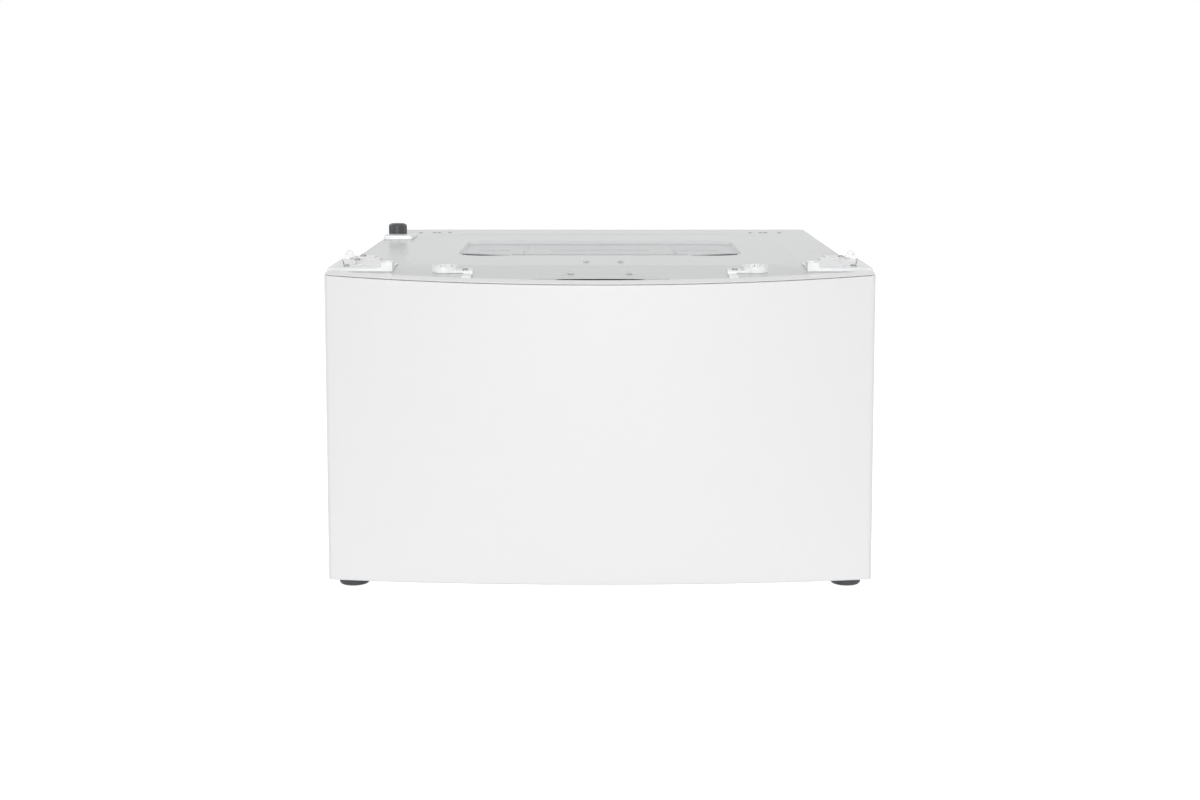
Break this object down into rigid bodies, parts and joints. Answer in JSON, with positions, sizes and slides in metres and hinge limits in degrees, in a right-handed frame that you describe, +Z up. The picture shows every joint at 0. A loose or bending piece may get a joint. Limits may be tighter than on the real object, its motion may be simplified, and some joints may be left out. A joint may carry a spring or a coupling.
{
  "type": "pedestal washer",
  "caption": "Low drawer washing machine that stands under a larger laundry machine, with a bowed front that pulls out on slides, a flat top with stacking brackets and levelling feet",
  "frame": {"origin": "bottom centre of the bounding box, on the floor", "axes": "+X to the machine's right seen from the front, the bowed front faces -Y, +Z up"},
  "size_m": [0.6, 0.65, 0.3838],
  "materials": {
    "front_white": "smooth gloss white enamel",
    "rim_white": "satin white",
    "plate_grey": "glossy light grey enamel",
    "recess_grey": "satin light grey",
    "cabinet_grey": "satin light grey enamel",
    "galvanised": "zinc plated sheet",
    "clear_white": "milky translucent",
    "dark_plastic": "moulded, fine grain",
    "foot_rubber": "matt",
    "screw_steel": "dark plated",
    "deck_white": "satin",
    "panel_black": "gloss",
    "button_white": "satin",
    "board_green": "coated",
    "cup_blue": "translucent",
    "filter_blue": "moulded",
    "tub_plastic": "moulded",
    "carrier_plastic": "moulded",
    "drum_steel": "polished stainless",
    "shaft_steel": "ground",
    "housing_alloy": "die cast",
    "winding_copper": "enamelled wire",
    "seal_rubber": "matt",
    "lid_glass": "clear, tinted"
  },
  "bodies": {
    "cabinet": {"base_frame": "galvanised", "side_panel_left": "cabinet_grey", "side_panel_right": "cabinet_grey", "rear_panel": "galvanised", "top_plate": "plate_grey", "recess_cover": "recess_grey", "corner_bracket_left": "clear_white", "corner_bracket_right": "clear_white", "stacking_clip_left": "clear_white", "stacking_clip_right": "clear_white", "anchor_block": "clear_white", "top_screws": "screw_steel", "outer_slides": "galvanised", "inlet_valve": "tub_plastic", "drain_outlet": "dark_plastic", "power_inlet": "dark_plastic", "controller_box": "dark_plastic"},
    "foot_front_left": {"foot_front_left": "foot_rubber"},
    "foot_front_right": {"foot_front_right": "foot_rubber"},
    "foot_rear_left": {"foot_rear_left": "foot_rubber"},
    "foot_rear_right": {"foot_rear_right": "foot_rubber"},
    "knob": {"anchor_knob": "dark_plastic"},
    "slide_left": {"middle_slide_left": "galvanised"},
    "slide_right": {"middle_slide_right": "galvanised"},
    "drawer": {"front_panel": "front_white", "front_rim": "rim_white", "front_carrier": "carrier_plastic", "drawer_tray": "galvanised", "inner_slides": "galvanised", "drawer_deck": "deck_white", "control_panel": "panel_black", "control_board": "board_green", "detergent_cup": "cup_blue", "drain_pump": "dark_plastic", "suspension_rods": "shaft_steel", "lid_hinge_pins": "shaft_steel"},
    "filter": {"pump_filter": "filter_blue"},
    "tub": {"outer_tub": "tub_plastic", "tub_cover": "tub_plastic", "bearing_housing": "housing_alloy", "bearings": "shaft_steel", "shaft_seal": "seal_rubber", "motor_stator": "winding_copper", "damper_cups": "tub_plastic", "drain_bellows": "seal_rubber", "suspension_springs": "shaft_steel"},
    "basket": {"basket": "drum_steel", "balance_ring": "deck_white", "basket_shaft": "shaft_steel"},
    "pulsator": {"pulsator": "deck_white", "pulsator_shaft": "shaft_steel", "motor_rotor": "galvanised"},
    "lid": {"lid_frame": "deck_white", "lid_glass": "lid_glass"},
    "button_power": {"button_power": "button_white"},
    "button_start": {"button_start": "button_white"},
    "button_cycle": {"button_cycle": "button_white"},
    "button_water": {"button_water": "button_white"}
  },
  "joints": [
    {"name": "drawer_slide", "type": "slide", "parent": "cabinet", "child": "drawer", "axis": [0, -1, 0], "range_m": [0, 0.42]},
    {"name": "slide_left_run", "type": "slide", "parent": "cabinet", "child": "slide_left", "axis": [0, -1, 0], "range_m": [0, 0.21]},
    {"name": "slide_right_run", "type": "slide", "parent": "cabinet", "child": "slide_right", "axis": [0, -1, 0], "range_m": [0, 0.21]},
    {"name": "tub_bounce", "type": "slide", "parent": "drawer", "child": "tub", "axis": [0, 0, 1], "range_m": [-0.006, 0.006], "stiffness_N_per_m": 20000, "springref_m": 0.0085, "deforming": ["suspension_springs", "drain_bellows"]},
    {"name": "basket_spin", "type": "hinge", "parent": "tub", "child": "basket", "pos_m": [0, 0.0185, 0.2], "axis": [0, 0, 1], "continuous": true},
    {"name": "pulsator_spin", "type": "hinge", "parent": "tub", "child": "pulsator", "pos_m": [0, 0.0185, 0.13], "axis": [0, 0, 1], "continuous": true},
    {"name": "lid_hinge", "type": "hinge", "parent": "drawer", "child": "lid", "pos_m": [0, 0.2095, 0.333], "axis": [-1, 0, 0], "range_deg": [0, 3]},
    {"name": "filter_turn", "type": "hinge", "parent": "drawer", "child": "filter", "pos_m": [0.15, -0.24, 0.062], "axis": [0, -1, 0], "continuous": true},
    {"name": "knob_turn", "type": "hinge", "parent": "cabinet", "child": "knob", "pos_m": [-0.27, 0.192, 0.376], "axis": [0, 0, 1], "continuous": true},
    {"name": "foot_turn_front_left", "type": "hinge", "parent": "cabinet", "child": "foot_front_left", "pos_m": [-0.281, -0.191, 0.03], "axis": [0, 0, 1], "continuous": true},
    {"name": "foot_turn_front_right", "type": "hinge", "parent": "cabinet", "child": "foot_front_right", "pos_m": [0.281, -0.191, 0.03], "axis": [0, 0, 1], "continuous": true},
    {"name": "foot_turn_rear_left", "type": "hinge", "parent": "cabinet", "child": "foot_rear_left", "pos_m": [-0.262, 0.281, 0.03], "axis": [0, 0, 1], "continuous": true},
    {"name": "foot_turn_rear_right", "type": "hinge", "parent": "cabinet", "child": "foot_rear_right", "pos_m": [0.262, 0.281, 0.03], "axis": [0, 0, 1], "continuous": true},
    {"name": "press_power", "type": "slide", "parent": "drawer", "child": "button_power", "axis": [0, 0, -1], "range_m": [0, 0.002], "stiffness_N_per_m": 400, "springref_m": -0.002},
    {"name": "press_start", "type": "slide", "parent": "drawer", "child": "button_start", "axis": [0, 0, -1], "range_m": [0, 0.002], "stiffness_N_per_m": 400, "springref_m": -0.002},
    {"name": "press_cycle", "type": "slide", "parent": "drawer", "child": "button_cycle", "axis": [0, 0, -1], "range_m": [0, 0.002], "stiffness_N_per_m": 400, "springref_m": -0.002},
    {"name": "press_water", "type": "slide", "parent": "drawer", "child": "button_water", "axis": [0, 0, -1], "range_m": [0, 0.002], "stiffness_N_per_m": 400, "springref_m": -0.002}
  ],
  "couplings": [
    {"joint": "slide_left_run", "follows": "drawer_slide", "ratio": 0.5},
    {"joint": "slide_right_run", "follows": "drawer_slide", "ratio": 0.5}
  ]
}
